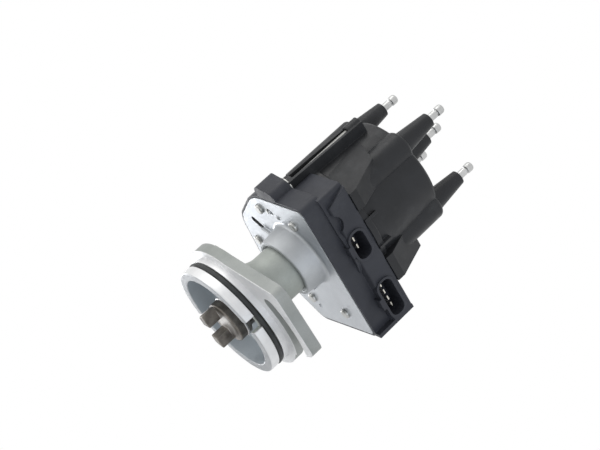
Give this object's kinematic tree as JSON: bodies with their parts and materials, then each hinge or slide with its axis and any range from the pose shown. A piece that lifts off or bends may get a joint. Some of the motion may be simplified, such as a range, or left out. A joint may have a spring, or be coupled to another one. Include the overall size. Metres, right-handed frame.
{
  "type": "ignition distributor",
  "caption": "Cam-driven electronic ignition distributor with a pilot cup, slotted flange, side sockets and a cap with plug-on terminals.",
  "frame": {"origin": "centre of the flange's seating face, on the shaft axis", "axes": "+Z along the shaft from the drive end to the cap, +Y towards the connector sockets, +X towards the cap screw beside the sockets"},
  "size_m": [0.1083, 0.1179, 0.184],
  "materials": {
    "cast_aluminium": "satin die-cast, fine grain",
    "plate_aluminium": "satin cast with a light bead-blasted face",
    "seal_rubber": "smooth oil-resistant rubber",
    "bush_bronze": "sintered bronze",
    "zinc_steel": "bright zinc plate",
    "base_plastic": "glass-filled black moulding, fine texture",
    "module_plastic": "black potting on a thin heat plate",
    "board_laminate": "green laminate",
    "pin_tin": "tinned brass",
    "insert_brass": "turned and knurled brass",
    "shaft_steel": "ground steel",
    "coupling_steel": "sintered steel, steam treated and oiled",
    "sinter_steel": "sintered steel",
    "bobbin_plastic": "natural nylon",
    "winding_copper": "enamelled copper wire",
    "magnet_ferrite": "ferrite",
    "shield_plastic": "black moulding",
    "rotor_plastic": "dark phenolic moulding",
    "blade_brass": "stamped brass",
    "cap_plastic": "glass-filled black moulding, satin",
    "terminal_aluminium": "turned, bright",
    "brush_carbon": "pressed carbon"
  },
  "bodies": {
    "housing_group": {"housing": "cast_aluminium", "top_plate": "plate_aluminium", "pilot_o_ring": "seal_rubber", "lower_bush": "bush_bronze", "upper_bush": "bush_bronze", "oil_seal": "seal_rubber", "plate_gasket": "seal_rubber", "plate_screws": "zinc_steel", "module_screws": "zinc_steel", "base_shell": "base_plastic", "ignition_module": "module_plastic", "wiring_board": "board_laminate", "power_pins": "pin_tin", "signal_pins": "pin_tin", "screw_inserts": "insert_brass", "cap_seal": "seal_rubber", "pickup_base": "zinc_steel", "pickup_bobbin": "bobbin_plastic", "pickup_winding": "winding_copper", "ring_magnet": "magnet_ferrite", "pole_piece": "zinc_steel", "pickup_screws": "zinc_steel", "dust_shield": "shield_plastic", "cap": "cap_plastic", "centre_terminal": "terminal_aluminium", "cap_screw_right": "zinc_steel", "cap_screw_left": "zinc_steel", "outer_terminal_1": "terminal_aluminium", "outer_terminal_2": "terminal_aluminium", "outer_terminal_3": "terminal_aluminium", "outer_terminal_4": "terminal_aluminium"},
    "shaft_group": {"shaft": "shaft_steel", "drive_coupling": "coupling_steel", "coupling_pin": "shaft_steel", "coupling_spring": "shaft_steel", "lower_thrust_washer": "shaft_steel", "upper_thrust_washer": "shaft_steel", "shaft_circlip": "shaft_steel", "reluctor": "sinter_steel", "reluctor_pin": "shaft_steel", "rotor_body": "rotor_plastic", "rotor_blade": "blade_brass", "rotor_contact": "blade_brass", "rotor_rivet": "blade_brass"},
    "brush_group": {"carbon_brush": "brush_carbon", "brush_spring": "shaft_steel"}
  },
  "joints": [
    {"name": "shaft_spin", "type": "hinge", "parent": "housing_group", "child": "shaft_group", "pos_m": [0, 0, 0], "axis": [0, 0, 1], "continuous": true},
    {"name": "brush_slide", "type": "slide", "parent": "housing_group", "child": "brush_group", "axis": [0, 0, 1], "range_m": [0, 0.002], "stiffness_N_per_m": 300, "springref_m": -0.003, "deforming": ["brush_spring"]}
  ]
}
